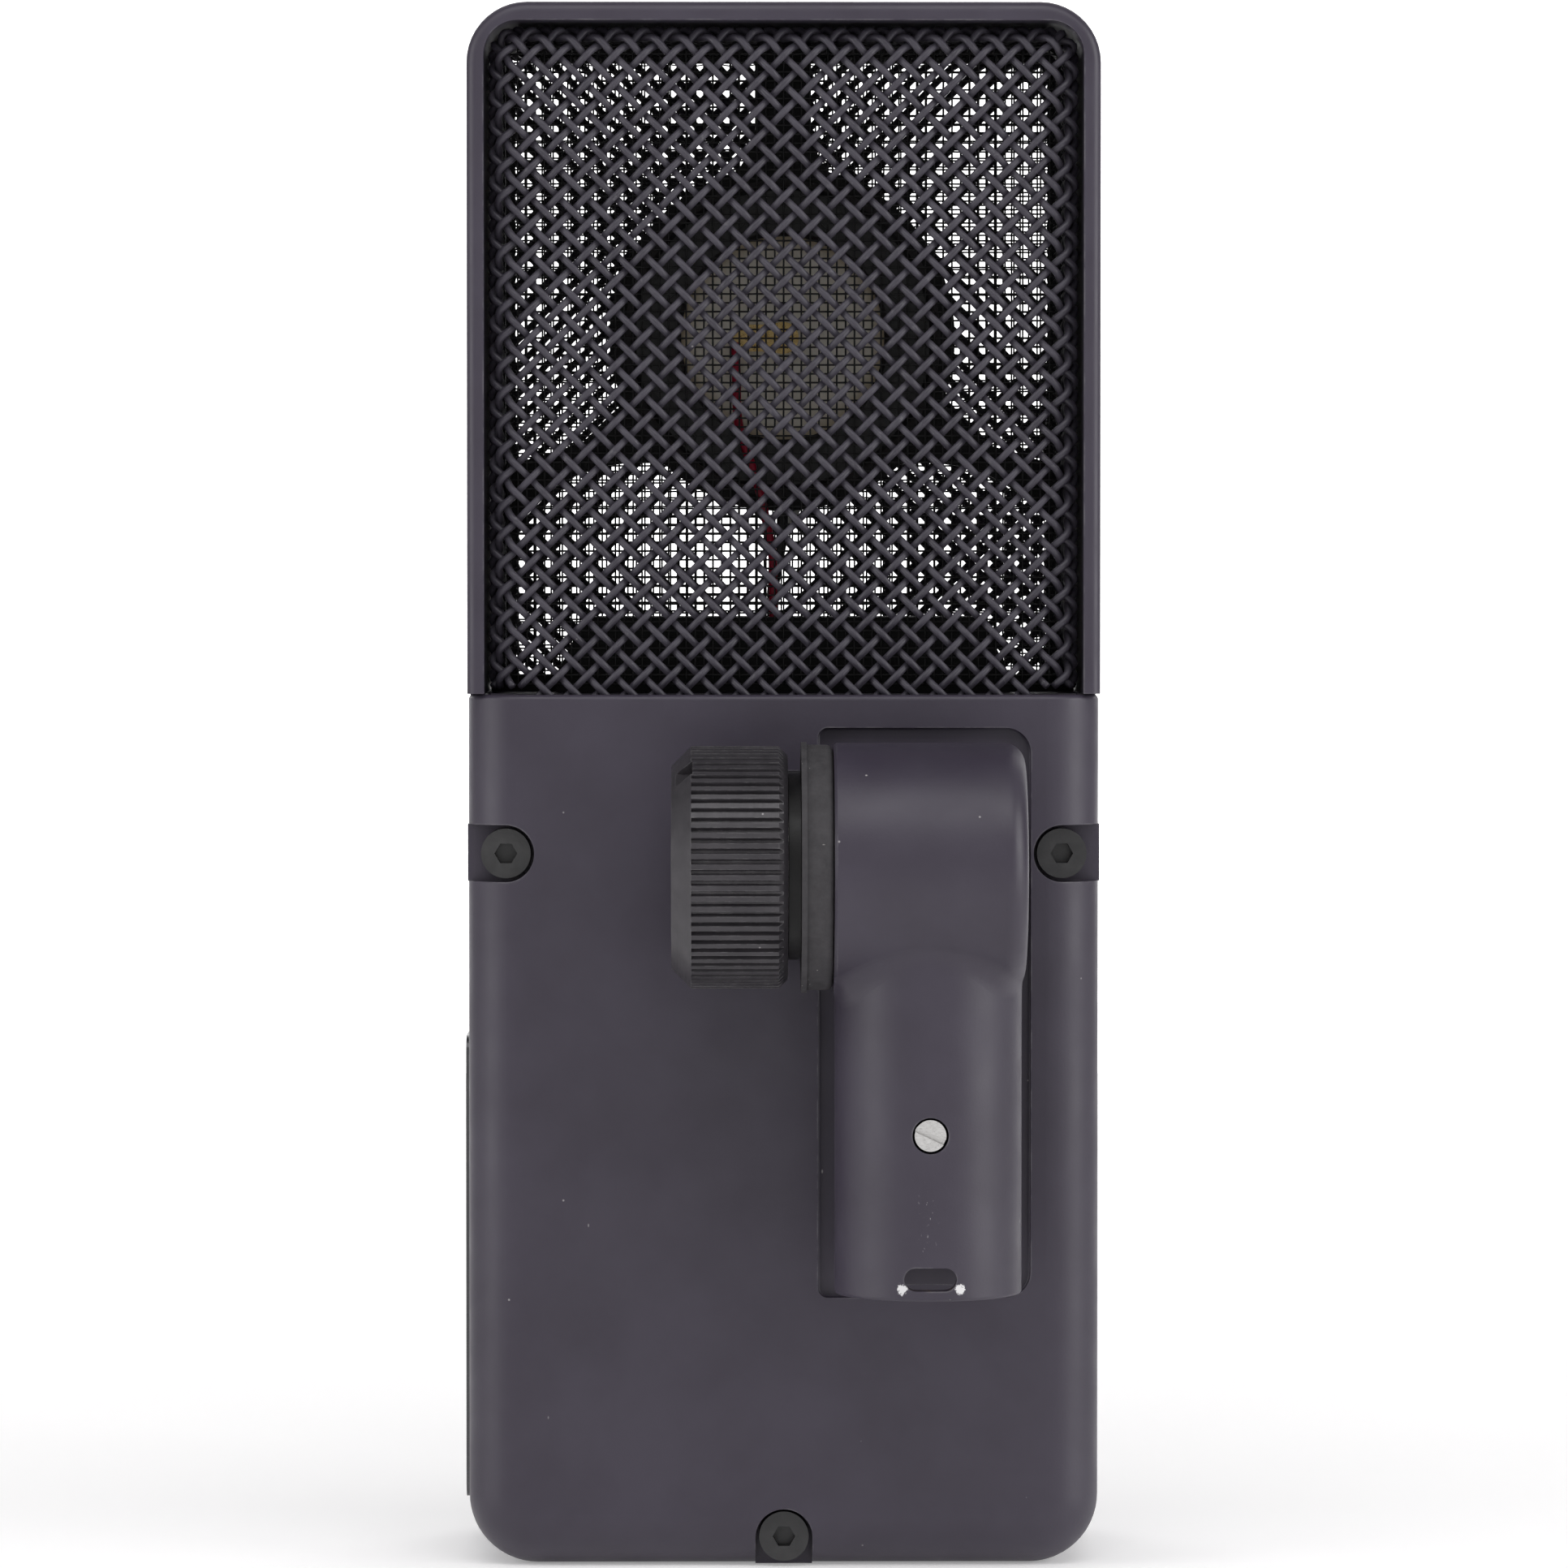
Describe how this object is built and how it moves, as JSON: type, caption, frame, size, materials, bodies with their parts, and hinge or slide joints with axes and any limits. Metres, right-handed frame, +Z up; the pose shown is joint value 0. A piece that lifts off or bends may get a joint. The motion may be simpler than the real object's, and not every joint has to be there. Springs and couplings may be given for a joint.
{
  "type": "side-address condenser microphone",
  "caption": "Slab-shaped side-address studio microphone with a woven wire head and a connector arm that swivels out from its back.",
  "frame": {"origin": "centre of the flat base", "axes": "+Z up towards the head, +Y out of the front that is spoken into, -Y out of the back that carries the swivel arm, +X to the right when looking at the back"},
  "size_m": [0.0706, 0.0676, 0.173],
  "materials": {
    "housing_paint": "satin dark charcoal paint",
    "knob_finish": "black anodised, knurled",
    "grille_wire": "satin black woven wire",
    "fine_mesh": "fine black wire mesh",
    "black_screw": "black oxide, oiled",
    "steel": "plain",
    "black_steel": "black",
    "badge_plate": "blank anodised plate",
    "carrier_plastic": "black moulded",
    "capsule_brass": "turned",
    "clamp_ring_black": "black anodised",
    "diaphragm_film": "metallised film",
    "rubber": "dusty matte rubber",
    "red_wire": "wire insulation",
    "white_wire": "wire insulation",
    "black_wire": "wire insulation",
    "board_green": "glass-fibre laminate",
    "core_steel": "laminated",
    "winding_tape": "taped winding",
    "can_sleeve": "shrink sleeve",
    "film_case": "moulded case",
    "transistor_case": "moulded case",
    "resistor_body": "lacquer",
    "contact_gold": "gold plated"
  },
  "bodies": {
    "body": {"main_frame": "housing_paint", "rear_shell": "housing_paint", "front_shell": "housing_paint", "shell_screws": "black_screw", "side_badge": "badge_plate", "rear_grille": "grille_wire", "front_grille": "grille_wire", "rear_inner_mesh": "fine_mesh", "front_inner_mesh": "fine_mesh", "capsule_carrier": "carrier_plastic", "head_pedestal": "carrier_plastic", "capsule_backplate": "capsule_brass", "rear_diaphragm": "diaphragm_film", "front_diaphragm": "diaphragm_film", "rear_clamp_ring": "clamp_ring_black", "front_clamp_ring": "clamp_ring_black", "clamp_ring_screws": "black_screw", "capsule_gasket": "rubber", "rear_terminal_tag": "capsule_brass", "rear_terminal_screw": "capsule_brass", "front_terminal_tag": "capsule_brass", "front_terminal_screw": "capsule_brass", "rear_lead": "red_wire", "front_lead": "white_wire", "backplate_lead": "black_wire", "lead_grommets": "rubber", "circuit_board": "board_green", "board_screws": "steel", "transformer_core": "core_steel", "transformer_winding": "winding_tape", "electrolytic_capacitors": "can_sleeve", "film_capacitors": "film_case", "transistors": "transistor_case", "resistors": "resistor_body", "capsule_header": "carrier_plastic", "output_socket": "carrier_plastic", "output_loom": "black_wire", "cable_bush": "carrier_plastic", "swivel_bracket": "black_steel", "bracket_screws": "steel"},
    "connector_arm": {"swivel_arm": "housing_paint", "friction_washer": "rubber", "pivot_bolt": "steel", "connector_insert": "carrier_plastic", "contact_pins": "contact_gold", "insert_screw": "steel", "arm_loom": "black_wire"},
    "thrust_ring": {"thrust_washer": "steel"},
    "knob": {"clamp_knob": "knob_finish", "knob_insert": "capsule_brass"}
  },
  "joints": [
    {"name": "arm_swivel", "type": "hinge", "parent": "body", "child": "connector_arm", "pos_m": [0.0155, -0.034, 0.0782], "axis": [-1, 0, 0], "range_deg": [0, 90]},
    {"name": "knob_travel", "type": "slide", "parent": "connector_arm", "child": "thrust_ring", "axis": [-1, 0, 0], "range_m": [0, 0.001]},
    {"name": "knob_turn", "type": "hinge", "parent": "thrust_ring", "child": "knob", "pos_m": [-0.006, -0.034, 0.0782], "axis": [-1, 0, 0], "range_deg": [0, 360]}
  ],
  "couplings": [
    {"joint": "knob_turn", "follows": "knob_travel", "rad_per_m": 6283.2}
  ]
}
